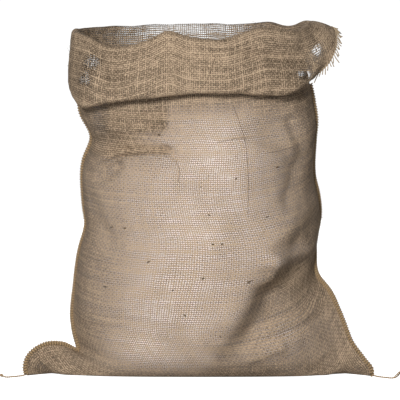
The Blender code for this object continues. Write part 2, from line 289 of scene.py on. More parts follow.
class Graph:
    # short ways to add the nodes that the finishes use
    def __init__(self, name):
        self.material = bpy.data.materials.new(name)
        self.material.use_nodes = True
        self.tree = self.material.node_tree
        self.shader = self.tree.nodes["Principled BSDF"]
        self.output = self.tree.nodes["Material Output"]

    def node(self, kind, **settings):
        made = self.tree.nodes.new("ShaderNode" + kind)
        for key, value in settings.items():
            setattr(made, key, value)
        return made

    def put(self, socket, value):
        if isinstance(value, bpy.types.NodeSocket):
            self.tree.links.new(value, socket)
        else:
            socket.default_value = value

    def math(self, operation, a, b=None, c=None, clamp=False):
        made = self.node("Math", operation=operation, use_clamp=clamp)
        for socket, value in zip(made.inputs, (a, b, c)):
            if value is not None:
                self.put(socket, value)
        return made.outputs[0]

    def remap(self, value, low, high, toLow, toHigh, soft=False):
        made = self.node("MapRange", interpolation_type="SMOOTHSTEP" if soft else "LINEAR")
        for socket, given in zip(made.inputs, (value, low, high, toLow, toHigh)):
            self.put(socket, given)
        return made.outputs[0]

    def noise(self, vector, scale, detail=1.0, dimensions="2D"):
        made = self.node("TexNoise", noise_dimensions=dimensions)
        made.inputs["Scale"].default_value = scale
        made.inputs["Detail"].default_value = detail
        self.tree.links.new(vector, made.inputs["Vector"])
        return made

    def combine(self, x, y, z=0.0):
        made = self.node("CombineXYZ")
        for socket, value in zip(made.inputs, (x, y, z)):
            self.put(socket, value)
        return made.outputs[0]

    def split(self, vector):
        made = self.node("SeparateXYZ")
        self.tree.links.new(vector, made.inputs[0])
        return made.outputs

    def blendColour(self, factor, a, b, kind="MIX"):
        made = self.node("Mix", data_type="RGBA", blend_type=kind)
        self.put(made.inputs[0], factor)
        self.put(made.inputs[6], (*a, 1) if isinstance(a, tuple) else a)
        self.put(made.inputs[7], (*b, 1) if isinstance(b, tuple) else b)
        return made.outputs[2]


def yarnSet(graph, across, along, pitch, width, look, sheer, seed):
    # one set of parallel yarns: how much they cover, how round they stand and each yarn's own shade
    place = graph.math("DIVIDE", across, pitch)
    number = graph.math("FLOOR", place)
    away = graph.math("ABSOLUTE", graph.math("SUBTRACT", graph.math("FRACT", place), 0.5))
    own = graph.node("TexWhiteNoise", noise_dimensions="1D")
    graph.put(own.inputs["W"], graph.math("ADD", number, seed))
    line = graph.combine(graph.math("MULTIPLY", number, 5.37), graph.math("MULTIPLY", along, 120.0))
    slub = graph.noise(line, 1.0, 1.5).outputs["Fac"]
    narrowest = width / 2 - look["widthSpread"] / 2
    half = graph.math("MULTIPLY_ADD", own.outputs["Value"], look["widthSpread"], narrowest)
    half = graph.math("MULTIPLY_ADD", graph.math("SUBTRACT", slub, 0.5), look["slub"], half)
    half = graph.math("MULTIPLY_ADD", sheer, -look["open"] / 2, half)
    half = graph.math("MAXIMUM", half, look["leastHalf"])
    cover = graph.remap(graph.math("SUBTRACT", away, half), -look["edgeBlur"], look["edgeBlur"], 1.0, 0.0)
    share = graph.math("DIVIDE", away, half, clamp=True)
    round_ = graph.math("SUBTRACT", 1.0, graph.math("MULTIPLY", share, share))
    return {
        "place": place,
        "number": number,
        "cover": cover,
        "round": round_,
        "own": own.outputs["Value"],
        "slub": slub,
    }


def yarnHeight(graph, yarn, other, rise):
    turn = graph.math("ADD", yarn["number"], other["place"])
    wave = graph.math("SINE", graph.math("MULTIPLY", turn, math.pi))
    return graph.math("MULTIPLY", graph.math("MULTIPLY_ADD", wave, rise, yarn["round"]), yarn["cover"])


def burlapFinish():
    look = burlapLook
    graph = Graph("burlapWeave")
    cloth = graph.node("UVMap", uv_map="cloth").outputs["UV"]
    sheer = graph.node("Attribute", attribute_name="sheer").outputs["Fac"]
    stainAndShade = graph.node("Attribute", attribute_name="stainAndShade").outputs["Fac"]
    pale = graph.node("Attribute", attribute_name="pale").outputs["Fac"]
    shutBelow, openAbove = look["seeThroughFrom"], look["seeThroughTo"]
    seeThrough = graph.remap(sheer, shutBelow, openAbove, look["leastSeeThrough"], 1.0)
    wander = graph.noise(cloth, 9.0, 2.0).outputs["Color"]
    shiver = graph.noise(cloth, 110.0, 1.0).outputs["Color"]
    u, v, _ = graph.split(cloth)
    wanderU, wanderV, _ = graph.split(wander)
    shiverU, shiverV, _ = graph.split(shiver)
    across = graph.math("MULTIPLY_ADD", wanderU, 2 * look["wander"], u)
    across = graph.math("MULTIPLY_ADD", shiverU, 2 * look["shiver"], across)
    along = graph.math("MULTIPLY_ADD", wanderV, 2 * look["wander"], v)
    along = graph.math("MULTIPLY_ADD", shiverV, 2 * look["shiver"], along)
    patch = graph.noise(cloth, look["patchScale"], 3.0).outputs["Fac"]
    drawnOut = graph.combine(
        graph.math("MULTIPLY", u, look["streakAcross"]),
        graph.math("MULTIPLY", v, look["streakAlong"]),
    )
    streak = graph.math("SUBTRACT", graph.noise(drawnOut, 1.0, 2.5).outputs["Fac"], 0.5)
    sheer = graph.math("MULTIPLY_ADD", graph.math("SUBTRACT", patch, 0.5), look["patchOpen"], sheer)
    sheer = graph.math("MULTIPLY_ADD", pale, look["paleOpen"], sheer)
    sheer = graph.math("MULTIPLY_ADD", streak, look["streakOpen"], sheer)
    warp = yarnSet(graph, across, v, look["warpPitch"], look["warpWidth"], look, sheer, 11.0)
    weft = yarnSet(graph, along, u, look["weftPitch"], look["weftWidth"], look, sheer, 503.0)

    # over and under: warp and weft take turns on top
    warpHigh = yarnHeight(graph, warp, weft, look["wave"])
    weftHigh = yarnHeight(graph, weft, warp, look["wave"])
    height = graph.math("MAXIMUM", warpHigh, weftHigh)
    warpOnTop = graph.math("GREATER_THAN", warpHigh, weftHigh)
    cover = graph.math("MAXIMUM", warp["cover"], weft["cover"])

    # shade: each yarn its own, painted shade down in the weave, with stains, painted shade from the marks and
    # dusty patches
    own, slub = (
        graph.math("MULTIPLY_ADD", graph.math("SUBTRACT", warp[key], weft[key]), warpOnTop, weft[key])
        for key in ("own", "slub")
    )
    fibre = graph.noise(cloth, look["fibreScale"], 2.0).outputs["Fac"]
    shade = graph.math("MULTIPLY_ADD", own, look["ownShade"], graph.math("MULTIPLY", slub, look["slubShade"]))
    shade = graph.math("ADD", shade, graph.math("MULTIPLY_ADD", patch, look["patchShade"], look["baseShade"]))
    shade = graph.math("MULTIPLY_ADD", fibre, look["fibreShade"], shade)
    shade = graph.math("MULTIPLY_ADD", streak, look["streakShade"], shade)
    # painted shade where the yarns dip under each other
    shade = graph.math("MULTIPLY_ADD", height, look["paintedDipShade"], shade)
    # the stains and the painted shade from the marks darken the yarns
    shade = graph.math("SUBTRACT", shade, stainAndShade, clamp=True)
    colour = graph.blendColour(shade, look["dark"], look["light"])
    graph.put(graph.shader.inputs["Base Color"], colour)
    graph.shader.inputs["Roughness"].default_value = look["roughness"]
    graph.shader.inputs["Specular IOR Level"].default_value = 0.15

    bump = graph.node("Bump")
    bump.inputs["Strength"].default_value = look["bump"]
    bump.inputs["Distance"].default_value = look["bumpDistance"]
    graph.put(bump.inputs["Height"], height)
    graph.put(graph.shader.inputs["Normal"], bump.outputs["Normal"])

    through = graph.node("BsdfTranslucent")
    graph.put(through.inputs["Color"], colour)
    yarn = graph.node("MixShader")
    yarn.inputs["Fac"].default_value = look["glow"]
    graph.put(yarn.inputs[1], graph.shader.outputs[0])
    graph.put(yarn.inputs[2], through.outputs[0])

    # the gaps: clear where the cloth is sheer, pale where it is stretched over the filling and painted light
    # falls, else mostly shut by fuzz and painted shadow
    clear = graph.node("BsdfTransparent")
    deep = graph.node("BsdfDiffuse")
    deep.inputs["Color"].default_value = (*look["deep"], 1)
    free = graph.node("MixShader")
    graph.put(free.inputs["Fac"], seeThrough)
    graph.put(free.inputs[1], deep.outputs[0])
    graph.put(free.inputs[2], clear.outputs[0])
    lintAndLight = graph.node("BsdfDiffuse")
    lintAndLight.inputs["Color"].default_value = (*look["lintAndLight"], 1)
    gap = graph.node("MixShader")
    graph.put(gap.inputs["Fac"], graph.math("MULTIPLY", pale, 1.0, clamp=True))
    graph.put(gap.inputs[1], free.outputs[0])
    graph.put(gap.inputs[2], lintAndLight.outputs[0])
    open_ = graph.node("MixShader")
    graph.put(open_.inputs["Fac"], cover)
    graph.put(open_.inputs[1], gap.outputs[0])
    graph.put(open_.inputs[2], yarn.outputs[0])
    graph.put(graph.output.inputs["Surface"], open_.outputs[0])
    return graph.material


def yarnFinish(name, look):
    # spun jute: fine slanting fibres along the piece's own map
    graph = Graph(name)
    ownMap = graph.node("UVMap", uv_map="UVMap").outputs["UV"]
    around, along, _ = graph.split(ownMap)
    slant = graph.combine(
        graph.math("MULTIPLY_ADD", along, look["twist"], graph.math("MULTIPLY", around, 3.0)),
        graph.math("MULTIPLY", along, 90.0),
    )
    fibres = graph.noise(slant, 2.2, 2.0).outputs["Fac"]
    patch = graph.noise(graph.combine(graph.math("MULTIPLY", along, 60.0), 0.0), 1.0, 1.0).outputs["Fac"]
    patchShade = graph.math("MULTIPLY_ADD", patch, 0.7, -0.35)
    shade = graph.math("ADD", graph.math("MULTIPLY", fibres, 0.9), patchShade)
    colour = graph.blendColour(graph.math("MULTIPLY", shade, 1.0, clamp=True), look["dark"], look["light"])
    graph.put(graph.shader.inputs["Base Color"], colour)
    graph.shader.inputs["Roughness"].default_value = 0.9
    graph.shader.inputs["Specular IOR Level"].default_value = 0.2
    graph.shader.inputs["Sheen Weight"].default_value = 0.15
    bump = graph.node("Bump")
    bump.inputs["Strength"].default_value = look["bump"]
    bump.inputs["Distance"].default_value = 0.0004
    graph.put(bump.inputs["Height"], fibres)
    graph.put(graph.shader.inputs["Normal"], bump.outputs["Normal"])
    return graph.material


burlap = burlapFinish()
seamYarn = yarnFinish("seamYarn", yarnLook)
fringeYarn = yarnFinish("fringeYarn", {**yarnLook, "light": (0.50, 0.39, 0.26), "dark": (0.22, 0.16, 0.10)})
darkYarn = yarnFinish("darkYarn", {**yarnLook, "light": (0.15, 0.09, 0.05), "dark": (0.05, 0.03, 0.02)})
# the bound edges are dark brown as painted shade between the stitch loops
shadedBoundEdge = yarnFinish("shadedBoundEdge", {**yarnLook, "light": (0.24, 0.165, 0.09), "dark": (0.09, 0.06, 0.03)})
print("finishes ready")


# Loose yarn ends at the bottom corners, along listed routes

tails = {
    "diameter": 0.0022,
    "plyRadius": 0.00062,
    "plyOffset": 0.00052,
    "twistPitch": 0.0062,
    "left": [
        (-0.2377, -0.0662, 0.0022),
        (-0.2417, -0.0686, 0.0014),
        (-0.2475, -0.0730, 0.0012),
        (-0.2545, -0.0775, 0.0012),
        (-0.2645, -0.0810, 0.0018),
        (-0.2675, -0.0812, 0.0033),
        (-0.2695, -0.0806, 0.0040),
        (-0.2715, -0.0798, 0.0050),
        (-0.2750, -0.0790, 0.0075),
        (-0.2770, -0.0786, 0.0110),
        (-0.2760, -0.0782, 0.0145),
    ],
    "right": [
        (0.2345, -0.0702, 0.0022),
        (0.2386, -0.0724, 0.0014),
        (0.2445, -0.0785, 0.0012),
        (0.2520, -0.0845, 0.0012),
        (0.2595, -0.0885, 0.0012),
        (0.2640, -0.0885, 0.0020),
        (0.2680, -0.0885, 0.0055),
        (0.2710, -0.0905, 0.0095),
        (0.2688, -0.0942, 0.0100),
        (0.2645, -0.0955, 0.0064),
        (0.2610, -0.0952, 0.0030),
    ],
    "knotMiddle": (-0.2685, -0.0809, 0.0037),
    "knotRadius": 0.0016,
    "knotWay": (-0.9, 0.1, 0.35),
    "knotStep": 0.0011,  # from one turn to the next
    "knotLean": 0.00045,
    "knotShrink": 0.0003,
    "knotYarn": 0.00075,
    "knotLowest": 0.0008,
}


def twistRoute(route, offset, pitch, phase):
    # a helix round a route, for one ply of a twisted yarn
    ways = np.gradient(route, axis=0)
    ways /= np.linalg.norm(ways, axis=1, keepdims=True)
    side = Vector(ways[0]).orthogonal().normalized()
    lengths = alongLine(route)
    places = []
    for middle, way, length in zip(route, ways, lengths):
        way = Vector(way)
        side = (side - way * side.dot(way)).normalized()
        angle = phase + 2 * math.pi * length / pitch
        places.append(Vector(middle) + (side * math.cos(angle) + way.cross(side) * math.sin(angle)) * offset)
    return np.array(places)


def yarnTail(name, points, taperFrom):
    route = smoothRoute(points, 0.0008)
    lengths = alongLine(route)
    thin = np.interp(lengths / lengths[-1], [0, taperFrom, 1], [1, 1, 0.5])
    work = bmesh.new()
    for ply in range(2):
        path = twistRoute(route, tails["plyOffset"], tails["twistPitch"], ply * math.pi)
        path = route + (path - route) * thin[:, None]
        path[:, 2] = np.maximum(path[:, 2], tails["plyRadius"])
        addTube(work, path, tails["plyRadius"] * thin, 7)
    return work, route[:-1], lengths[-2]


def knotLoops(work, middle, radius, way):
    # three tight turns, the outer two leaning against the middle one
    way = Vector(way).normalized()
    side = way.orthogonal().normalized()
    up = way.cross(side)
    for turn in range(3):
        route = []
        for angle in np.linspace(0, 2 * math.pi, 15):
            spot = side * math.cos(angle) + up * math.sin(angle)
            forward = (turn - 1) * (tails["knotStep"] + tails["knotLean"] * math.cos(angle))
            spot = spot * (radius - tails["knotShrink"] * abs(turn - 1)) + way * forward
            route.append(Vector(middle) + spot)
        route = np.array(route)
        route[:, 2] = np.maximum(route[:, 2], tails["knotLowest"])
        addTube(work, route, tails["knotYarn"], 7, closeEnds=False)


leftWork, leftRoute, leftLength = yarnTail("leftTail", tails["left"], 0.72)
knotLoops(leftWork, tails["knotMiddle"], tails["knotRadius"], tails["knotWay"])
leftTail = placePiece("leftTail", leftWork, seamYarn)
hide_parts("left_tail", "left_tail_knot")

rightWork, rightRoute, rightLength = yarnTail("rightTail", tails["right"], 0.86)
rightTail = placePiece("rightTail", rightWork, seamYarn)
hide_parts("right_tail")
print("tails ready", round(leftLength, 4), round(rightLength, 4))


# The cloth

clothShape = {
    "width": 0.50,
    "panelLength": 0.73,
    "columns": 180,
    "wallRows": 170,
    "boxiness": 0.94,
    "creaseDepth": 1.6,
    "floor": 0.0009,
    "rimRadius": 0.0065,
    "foldRadius": 0.0065,
    "rimRows": 10,
    "dropRows": 13,
    "foldRows": 10,
    "hemRows": 12,
    "turnSpan": 6,  # columns that the roll's direction is read over
    "wallBumps": [(0.0024, 22.0, 3.0), (0.0011, 60.0, 9.0)],  # height, fineness, seed
    "wallWaves": (0.0009, 85.0, 15.0),
    "rimBumps": (0.0012, 6.0, 21.0),
    "rollBumps": [(0.0018, 24.0, 5.0), (0.0010, 70.0, 7.0)],
    "liftFrom": 0.36,  # height from which the wall follows the rim up and down
}

# One row for each course of cloth, at its reach from the bottom fold, from the left seam over the
# middle to the right seam. Lean is 1 where it lies on the floor, 0 where it rings the wall.
Course = namedtuple("Course", "reach left right front back lean hold")
courses = [
    Course(0.000, (-0.235, -0.066, 0.001), (0.232, -0.070, 0.001), (-0.006, 0.001), (0.004, 0.001), 1.0, 0.8),
    Course(0.014, (-0.237, -0.068, 0.012), (0.231, -0.072, 0.012), (-0.020, 0.001), (0.018, 0.001), 1.0, 0.8),
    Course(0.030, (-0.233, -0.067, 0.026), (0.221, -0.070, 0.024), (-0.036, 0.001), (0.034, 0.001), 1.0, 0.8),
    Course(0.058, (-0.211, -0.062, 0.042), (0.205, -0.065, 0.047), (-0.063, 0.001), (0.062, 0.001), 1.0, 0.8),
    Course(0.085, (-0.185, -0.052, 0.041), (0.195, -0.052, 0.073), (-0.086, 0.003), (0.088, 0.002), 0.8, 0.6),
    Course(0.109, (-0.166, -0.040, 0.032), (0.186, -0.040, 0.095), (-0.102, 0.019), (0.107, 0.016), 0.6, 0.4),
    Course(0.133, (-0.172, -0.028, 0.057), (0.176, -0.024, 0.114), (-0.112, 0.040), (0.119, 0.036), 0.4, 0.2),
    Course(0.152, (-0.175, -0.020, 0.075), (0.163, -0.008, 0.129), (-0.117, 0.058), (0.124, 0.054), 0.3, 0.0),
    Course(0.190, (-0.173, -0.014, 0.112), (0.160, 0.014, 0.163), (-0.123, 0.094), (0.127, 0.092), 0.1, 0.0),
    Course(0.250, (-0.165, -0.012, 0.171), (0.167, 0.024, 0.217), (-0.125, 0.154), (0.128, 0.152), 0.0, 0.0),
    Course(0.280, (-0.157, -0.011, 0.201), (0.164, 0.020, 0.242), (-0.123, 0.184), (0.127, 0.182), 0.0, 0.0),
    Course(0.310, (-0.160, -0.010, 0.230), (0.158, 0.014, 0.266), (-0.121, 0.214), (0.125, 0.212), 0.0, 0.0),
    Course(0.370, (-0.160, -0.006, 0.289), (0.158, 0.002, 0.317), (-0.114, 0.273), (0.120, 0.272), 0.0, 0.0),
    Course(0.404, (-0.149, -0.002, 0.322), (0.160, 0.000, 0.344), (-0.109, 0.307), (0.117, 0.307), 0.0, 0.0),
    Course(0.440, (-0.164, 0.000, 0.356), (0.156, 0.000, 0.373), (-0.103, 0.343), (0.112, 0.344), 0.0, 0.0),
    Course(0.500, (-0.162, 0.000, 0.413), (0.146, 0.000, 0.421), (-0.100, 0.402), (0.108, 0.405), 0.0, 0.0),
    Course(0.559, (-0.165, 0.000, 0.470), (0.140, 0.000, 0.470), (-0.101, 0.460), (0.106, 0.470), 0.0, 0.0),
]

# The roll, station by station: place 0 is the left seam, 1 the middle of the front, 2 the right seam
Station = namedtuple("Station", "place lift rimTurn drop bow foldTurn hem")
stations = [
    Station(0.00, -0.005, 178, 0.057, 2, 180, 0.046),
    Station(0.13, -0.007, 178, 0.071, 3, 182, 0.052),
    Station(0.29, -0.010, 176, 0.084, 7, 184, 0.060),
    Station(0.49, -0.022, 176, 0.064, 10, 186, 0.044),
    Station(0.72, -0.012, 176, 0.066, 10, 186, 0.044),
    Station(0.84, 0.001, 176, 0.075, 10, 186, 0.050),
    Station(1.00, -0.007, 176, 0.064, 10, 186, 0.044),
    Station(1.26, -0.008, 176, 0.063, 10, 186, 0.042),
    Station(1.42, 0.004, 176, 0.077, 10, 186, 0.046),
    Station(1.60, 0.001, 172, 0.076, 12, 170, 0.022),
    Station(1.76, -0.002, 168, 0.052, 14, 90, 0.008),
    Station(1.88, 0.000, 150, 0.030, 18, 26, 0.006),
    Station(2.00, 0.001, 118, 0.014, 14, 16, 0.006),
    Station(2.14, 0.002, 100, 0.011, 12, 16, 0.006),
    Station(2.30, -0.002, 136, 0.022, 16, 40, 0.008),
    Station(2.46, 0.006, 172, 0.058, 12, 150, 0.020),
    Station(2.62, 0.004, 176, 0.078, 8, 182, 0.044),
    Station(3.00, 0.004, 176, 0.080, 8, 184, 0.052),
    Station(3.40, 0.001, 176, 0.078, 8, 184, 0.052),
    Station(3.72, -0.002, 176, 0.076, 6, 184, 0.050),
    Station(3.88, -0.004, 178, 0.068, 3, 182, 0.048),
    Station(4.00, -0.005, 178, 0.057, 2, 180, 0.046),
]

# Folds of the wall as soft ridges (height over 0) and troughs, seen square on to the front or back
Fold = namedtuple("Fold", "front x0 z0 x1 z1 height width")
mainFolds = [
    Fold(True, 0.160, 0.238, 0.100, 0.182, 0.009, 0.024),
    Fold(True, 0.160, 0.200, 0.118, 0.164, -0.010, 0.020),
    Fold(True, 0.085, 0.142, 0.045, 0.085, 0.010, 0.030),
    Fold(True, 0.045, 0.085, 0.005, 0.015, 0.009, 0.028),
    Fold(True, 0.150, 0.142, 0.098, 0.112, -0.013, 0.024),
    Fold(True, 0.098, 0.112, 0.062, 0.060, -0.010, 0.024),
    Fold(True, 0.062, 0.060, 0.042, 0.025, -0.006, 0.020),
    Fold(True, 0.140, 0.085, 0.115, 0.050, 0.006, 0.030),
    Fold(True, 0.100, 0.330, 0.150, 0.230, -0.005, 0.024),
    Fold(True, -0.120, 0.310, -0.040, 0.345, -0.005, 0.018),
    Fold(True, -0.150, 0.120, -0.060, 0.060, -0.005, 0.024),
    Fold(False, -0.120, 0.300, 0.020, 0.220, 0.007, 0.035),
    Fold(False, 0.040, 0.180, 0.130, 0.090, -0.007, 0.030),
    Fold(False, -0.130, 0.110, -0.050, 0.200, -0.006, 0.030),
    Fold(False, 0.060, 0.330, 0.130, 0.260, -0.006, 0.028),
]

# Smaller creases
creases = [
    Fold(True, 0.145, 0.172, 0.100, 0.158, 0.0060, 0.0130),
    Fold(True, -0.124, 0.336, -0.058, 0.335, 0.0030, 0.0050),
    Fold(True, -0.058, 0.335, -0.049, 0.344, 0.0030, 0.0050),
    Fold(True, -0.049, 0.344, -0.048, 0.378, 0.0030, 0.0050),
    Fold(True, -0.124, 0.356, -0.060, 0.358, -0.0030, 0.0120),
    Fold(True, -0.126, 0.291, -0.104, 0.299, 0.0034, 0.0040),
    Fold(True, -0.104, 0.299, -0.050, 0.301, 0.0034, 0.0040),
    Fold(True, -0.050, 0.301, -0.035, 0.291, 0.0034, 0.0040),
    Fold(True, -0.122, 0.300, -0.101, 0.308, -0.0034, 0.0050),
    Fold(True, -0.101, 0.308, -0.046, 0.311, -0.0034, 0.0050),
    Fold(True, -0.046, 0.311, -0.030, 0.297, -0.0034, 0.0050),
    Fold(True, -0.100, 0.289, -0.045, 0.292, 0.0020, 0.0030),
    Fold(True, -0.130, 0.272, -0.112, 0.286, -0.0040, 0.0080),
    Fold(True, -0.165, 0.096, -0.095, 0.098, 0.0016, 0.0036),
    Fold(True, -0.160, 0.088, -0.080, 0.088, 0.0018, 0.0040),
    Fold(True, -0.165, 0.079, -0.105, 0.077, 0.0016, 0.0036),
    Fold(True, 0.018, 0.014, 0.070, 0.026, 0.0034, 0.0055),
    Fold(True, 0.070, 0.026, 0.108, 0.042, 0.0030, 0.0060),
    Fold(True, 0.108, 0.042, 0.150, 0.018, 0.0026, 0.0070),
    Fold(True, 0.092, 0.066, 0.165, 0.096, 0.0024, 0.0050),
    Fold(True, 0.085, 0.052, 0.168, 0.080, -0.0022, 0.0050),
    Fold(True, 0.140, 0.012, 0.176, 0.034, 0.0040, 0.0060),
    Fold(True, 0.030, 0.130, 0.085, 0.143, -0.0022, 0.0080),
    Fold(True, 0.062, 0.134, 0.095, 0.136, 0.0030, 0.0070),
    Fold(True, 0.050, 0.320, 0.110, 0.300, 0.0020, 0.0080),
    Fold(True, -0.020, 0.250, 0.040, 0.240, -0.0015, 0.0100),
    Fold(True, -0.150, 0.240, -0.120, 0.180, -0.0030, 0.0120),
    Fold(True, 0.135, 0.290, 0.120, 0.240, -0.0030, 0.0100),
    Fold(True, 0.125, 0.345, 0.145, 0.300, -0.0030, 0.0080),
]

# Soft folds of the rolled cuff
cuffFolds = [
    Fold(True, -0.033, 0.462, 0.045, 0.442, 0.0050, 0.0100),
    Fold(True, 0.045, 0.438, 0.130, 0.432, -0.0040, 0.0060),
    Fold(True, 0.060, 0.447, 0.125, 0.444, 0.0030, 0.0060),
    Fold(True, -0.130, 0.450, -0.100, 0.415, 0.0045, 0.0090),
    Fold(True, -0.110, 0.405, -0.060, 0.395, 0.0035, 0.0100),
    Fold(True, -0.142, 0.425, -0.128, 0.400, -0.0040, 0.0080),
    Fold(True, 0.014, 0.432, -0.002, 0.386, -0.0024, 0.0040),
    Fold(True, 0.012, 0.400, 0.090, 0.398, 0.0030, 0.0100),
    Fold(False, -0.100, 0.440, -0.020, 0.415, 0.0040, 0.0120),
    Fold(False, 0.030, 0.410, 0.110, 0.430, 0.0035, 0.0100),
]

# What the marks below are added to, by where the cloth is
markBase = {
    "backPale": 0.42,
    "backPaleEnd": 0.13,  # how far under the rim the back's pale gaps end
    "backPaleFade": 0.12,
    "paleEnd": 0.11,
    "paleFade": 0.03,
    "paleLeftInFoldShade": 0.45,  # share of the pale gaps left past the long slanting fold, the rest taken away as painted shade
    # painted shade on the yarns past the long slanting fold, and how far under the rim it stops
    "foldPaintedShade": 0.08,
    "foldPaintedShadeEnd": 0.09,
    "rollShut": 0.55,  # the roll's inner layers lie close enough to look solid
    "rollFrom": 0.01,
    "edgeSpread": 0.007,
}

# Marks on the front or back, seen square on: how strong, and how far they spread
Mark = namedtuple("Mark", "front x z spreadX spreadZ strength")
# pale gaps: pale filling and fibre, laid on as painted light where the wall is lit; on the front, marks below
# 0 are painted shade
paleFillAndPaintedLightMarks = [
    Mark(True, 0.025, 0.330, 0.095, 0.060, 0.66),
    Mark(True, -0.005, 0.255, 0.130, 0.055, 0.58),
    Mark(True, 0.010, 0.195, 0.130, 0.045, 0.54),
    Mark(True, -0.020, 0.130, 0.115, 0.045, 0.70),
    Mark(True, -0.040, 0.070, 0.090, 0.040, 0.68),
    Mark(True, -0.085, 0.044, 0.040, 0.022, 0.45),
    Mark(True, -0.010, 0.026, 0.100, 0.018, 0.45),
    Mark(True, 0.120, 0.055, 0.055, 0.038, 0.90),
    Mark(True, 0.122, 0.168, 0.034, 0.012, 0.60),
    Mark(True, -0.110, 0.315, 0.030, 0.014, -0.45),
    Mark(True, 0.130, 0.135, 0.035, 0.016, -0.40),
    Mark(False, -0.135, 0.345, 0.030, 0.050, -0.90),
    Mark(False, -0.020, 0.470, 0.140, 0.035, -0.35),
]
# the same with crisp edges: painted shade in the step under the cuff and along the crease below it
paintedShadeBlocks = [
    Mark(True, -0.086, 0.357, 0.040, 0.022, -0.80),
    Mark(True, -0.080, 0.309, 0.044, 0.006, -0.45),
]
# how far to the right the front is stretched over the filling and lit, at each height; past it goes painted
# shade
foldLitEdge = [
    (0.000, 0.002), (0.009, 0.007), (0.049, 0.033), (0.082, 0.051), (0.109, 0.067), (0.129, 0.082),
    (0.142, 0.092), (0.150, 0.106), (0.158, 0.118), (0.165, 0.106), (0.173, 0.093), (0.180, 0.094),
    (0.195, 0.113), (0.215, 0.135), (0.236, 0.157), (0.260, 0.190), (0.500, 0.200),
]
sheerMarks = [
    Mark(True, -0.136, 0.350, 0.014, 0.040, 0.80),
    Mark(True, -0.145, 0.426, 0.013, 0.011, 2.60),
    Mark(False, -0.153, 0.426, 0.014, 0.012, 2.80),
    Mark(True, -0.155, 0.402, 0.010, 0.012, 2.00),
    Mark(False, -0.163, 0.402, 0.011, 0.013, 2.60),
    Mark(True, 0.172, 0.440, 0.030, 0.045, -1.30),
    Mark(False, 0.172, 0.440, 0.030, 0.045, -1.30),
    Mark(True, 0.159, 0.444, 0.012, 0.016, 2.60),
    Mark(False, 0.159, 0.444, 0.008, 0.011, 1.80),
    Mark(True, 0.140, 0.410, 0.011, 0.008, 2.60),
    Mark(False, 0.140, 0.410, 0.007, 0.005, 1.60),
    Mark(False, -0.020, 0.472, 0.125, 0.045, 1.70),
    Mark(True, -0.218, 0.012, 0.010, 0.006, 0.70),
    Mark(True, 0.210, 0.008, 0.012, 0.007, 0.90),
]
# stains, and painted shade, as a darker yarn tone from each mark
stainAndShadeMarks = [
    # painted shade on the cuff
    Mark(True, -0.120, 0.430, 0.045, 0.060, 0.16),
    Mark(True, 0.110, 0.430, 0.060, 0.060, 0.14),
    # a darker spot at the lower left corner, and stains
    Mark(True, -0.205, 0.025, 0.030, 0.020, 0.16),
    Mark(True, 0.066, 0.342, 0.010, 0.006, 0.18),
    Mark(True, -0.029, 0.262, 0.012, 0.006, 0.16),
    Mark(True, -0.013, 0.102, 0.012, 0.006, 0.14),
    # painted shade under the cuff at the left, at the upper right, along the bottom and down both side edges
    Mark(True, -0.085, 0.350, 0.040, 0.016, 0.10),
    Mark(True, -0.110, 0.352, 0.050, 0.030, 0.07),
    Mark(True, 0.130, 0.360, 0.040, 0.045, 0.13),
    Mark(True, -0.045, 0.012, 0.120, 0.010, 0.08),
    Mark(True, 0.130, 0.012, 0.080, 0.009, 0.14),
    Mark(True, -0.155, 0.200, 0.016, 0.150, 0.16),
    Mark(True, 0.158, 0.300, 0.016, 0.080, 0.16),
    # darker spots on the back
    Mark(False, 0.030, 0.120, 0.030, 0.020, 0.12),
    Mark(False, -0.080, 0.280, 0.020, 0.030, 0.12),
]


def readTable(kind, rows, at):
    # a row of the table between its own rows, read along its first field
    keys = [row[0] for row in rows]
    return kind(*(smooth(keys, [row[field] for row in rows], at)[0] for field in range(len(rows[0]))))


def panelCourse(course, isFront, count):
    middleY, middleZ = course.front if isFront else course.back
    middleX = (course.left[0] + course.right[0]) / 2
    side = np.linspace(-1, 1, 321)
    share = np.abs(side)
    seam = np.where(side[:, None] < 0, course.left, course.right)
    turn = share * math.pi / 2
    boxiness = clothShape["boxiness"]
    across = (1 - course.lean) * np.sin(turn) ** boxiness + course.lean * share
    deep = (1 - course.lean) * np.maximum(0.0, np.cos(turn)) ** boxiness + course.lean * (1 - share**3)
    rise = (np.maximum(0.0, share - course.hold) / (1 - course.hold)) ** 2
    points = np.stack([
        middleX + (seam[:, 0] - middleX) * across,
        seam[:, 1] + (middleY - seam[:, 1]) * deep,
        np.maximum(clothShape["floor"], middleZ + (seam[:, 2] - middleZ) * rise),
    ], axis=1)
    return even(points, count)


def foldPush(points, isFront, folds):
    push = np.zeros(len(points))
    for fold in folds:
        if fold.front != isFront:
            continue
        start = np.array([fold.x0, fold.z0])
        way = np.array([fold.x1, fold.z1]) - start
        flat = points[:, [0, 2]] - start
        along = flat @ way / (way @ way)
        away = np.linalg.norm(flat - np.clip(along, 0, 1)[:, None] * way, axis=1)
        push += fold.height * np.exp(-((away / fold.width) ** 2))
    return push


def outward(loop, span):
    tangent = np.roll(loop, -span, axis=0) - np.roll(loop, span, axis=0)
    normal = np.stack([tangent[:, 1], -tangent[:, 0], np.zeros(len(loop))], axis=1)
    return normal / np.maximum(np.linalg.norm(normal, axis=1, keepdims=True), 1e-9)


def unevenness(points, scale, seed):
    # soft bumps, from -1 to 1
    return np.array([noise.noise(Vector(p) * scale + Vector((seed, 0, 0))) for p in points])


